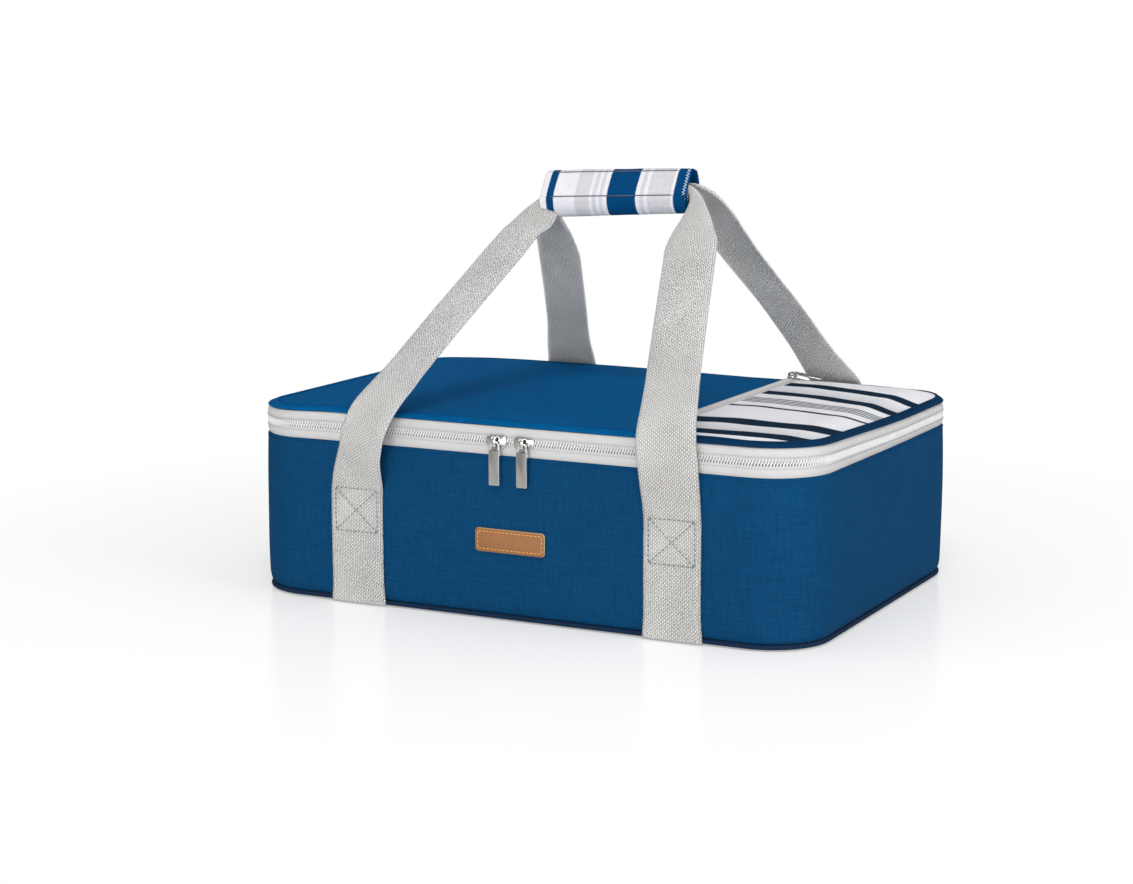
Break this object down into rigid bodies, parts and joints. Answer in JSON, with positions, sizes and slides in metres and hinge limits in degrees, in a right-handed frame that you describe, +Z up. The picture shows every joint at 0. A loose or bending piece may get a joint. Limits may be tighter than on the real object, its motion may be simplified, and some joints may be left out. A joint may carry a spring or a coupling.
{
  "type": "casserole carrier",
  "caption": "Insulated rectangular fabric carrier for an oven dish, with a zipped lid, a striped zipped lid pocket and webbing handles held together by a padded hook-and-loop wrap.",
  "frame": {"origin": "centre of the base, on the surface that the carrier stands on", "axes": "+X along the length towards the lid pocket, +Y to the back where the lid hinges, +Z up"},
  "size_m": [0.4102, 0.3021, 0.285],
  "materials": {
    "body_cloth": "blue oxford weave",
    "lid_cloth": "blue oxford weave",
    "navy_cloth": "dark navy woven tape",
    "striped_cloth": "white cloth with navy and grey stripes",
    "foam": "soft closed-cell foam",
    "foil": "aluminised film",
    "board": "stiff board",
    "zip_tape": "white woven tape",
    "zip_coil": "grey nylon coil",
    "chrome": "polished",
    "webbing": "pale grey ribbed webbing",
    "leather": "tan, stitched"
  },
  "bodies": {
    "tub": {"outer_wall": "body_cloth", "base_panel": "navy_cloth", "base_piping": "navy_cloth", "base_board": "board", "wall_insulation": "foam", "inner_lining": "foil", "inner_binding": "navy_cloth", "lower_zip_tape": "zip_tape", "lower_zip_coil": "zip_coil", "rear_hinge_panel": "body_cloth", "front_left_strap_end": "webbing", "front_right_strap_end": "webbing", "rear_left_strap_end": "webbing", "rear_right_strap_end": "webbing", "label_patch": "leather"},
    "lid": {"lid_cover": "lid_cloth", "lid_insulation": "foam", "lid_lining": "foil", "lid_ridge": "lid_cloth", "upper_zip_tape": "zip_tape", "upper_zip_coil": "zip_coil", "pocket_panel": "striped_cloth", "pocket_binding": "navy_cloth", "pocket_zip_tape_inner": "zip_tape", "pocket_zip_tape_outer": "zip_tape", "pocket_zip_coil": "zip_coil"},
    "left_zip_slider": {"left_slider": "chrome"},
    "left_zip_pull": {"left_pull": "chrome"},
    "right_zip_slider": {"right_slider": "chrome"},
    "right_zip_pull": {"right_pull": "chrome"},
    "pocket_zip_slider": {"pocket_slider": "chrome"},
    "pocket_zip_pull": {"pocket_pull": "chrome"},
    "front_handle": {"front_left_strap_leg": "webbing", "front_right_strap_leg": "webbing", "front_grip": "webbing", "wrap_front_half": "striped_cloth", "wrap_loop_strip": "navy_cloth"},
    "rear_handle": {"rear_left_strap_leg": "webbing", "rear_right_strap_leg": "webbing", "rear_grip": "webbing"},
    "wrap_closure": {"wrap_flap": "striped_cloth", "wrap_hook_strip": "navy_cloth"}
  },
  "joints": [
    {"name": "lid_hinge", "type": "hinge", "parent": "tub", "child": "lid", "pos_m": [0, 0.145, 0.1185], "axis": [-1, 0, 0], "range_deg": [0, 95], "deforming": ["rear_hinge_panel", "front_left_strap_leg", "front_right_strap_leg", "rear_left_strap_leg", "rear_right_strap_leg", "wrap_flap", "wrap_hook_strip"]},
    {"name": "front_handle_fold", "type": "hinge", "parent": "tub", "child": "front_handle", "pos_m": [0, -0.1462, 0.08015], "axis": [1, 0, 0], "range_deg": [0, 135]},
    {"name": "rear_handle_fold", "type": "hinge", "parent": "tub", "child": "rear_handle", "pos_m": [0, 0.1462, 0.08015], "axis": [-1, 0, 0], "range_deg": [0, 135]},
    {"name": "wrap_open", "type": "hinge", "parent": "front_handle", "child": "wrap_closure", "pos_m": [0.005, 0.0073, 0.2836], "axis": [1, 0, 0], "range_deg": [0, 150]},
    {"name": "left_slider_run", "type": "slide", "parent": "tub", "child": "left_zip_slider", "axis": [-1, 0, 0], "range_m": [0, 0.064]},
    {"name": "right_slider_run", "type": "slide", "parent": "tub", "child": "right_zip_slider", "axis": [1, 0, 0], "range_m": [0, 0.064]},
    {"name": "left_pull_swing", "type": "hinge", "parent": "left_zip_slider", "child": "left_zip_pull", "pos_m": [-0.01, -0.14855, 0.11799], "axis": [-1, 0, 0], "range_deg": [0, 150]},
    {"name": "right_pull_swing", "type": "hinge", "parent": "right_zip_slider", "child": "right_zip_pull", "pos_m": [0.01, -0.14855, 0.11799], "axis": [-1, 0, 0], "range_deg": [0, 150]},
    {"name": "pocket_slider_run", "type": "slide", "parent": "lid", "child": "pocket_zip_slider", "axis": [0, -1, 0], "range_m": [0, 0.22]},
    {"name": "pocket_pull_swing", "type": "hinge", "parent": "pocket_zip_slider", "child": "pocket_zip_pull", "pos_m": [0.09207, 0.11, 0.1369], "axis": [0, -1, 0], "range_deg": [0, 165]}
  ],
  "couplings": [
    {"joint": "front_handle_fold", "follows": "lid_hinge", "ratio": 1.42},
    {"joint": "rear_handle_fold", "follows": "lid_hinge", "ratio": 1.42},
    {"joint": "wrap_open", "follows": "lid_hinge", "ratio": 1.57}
  ]
}
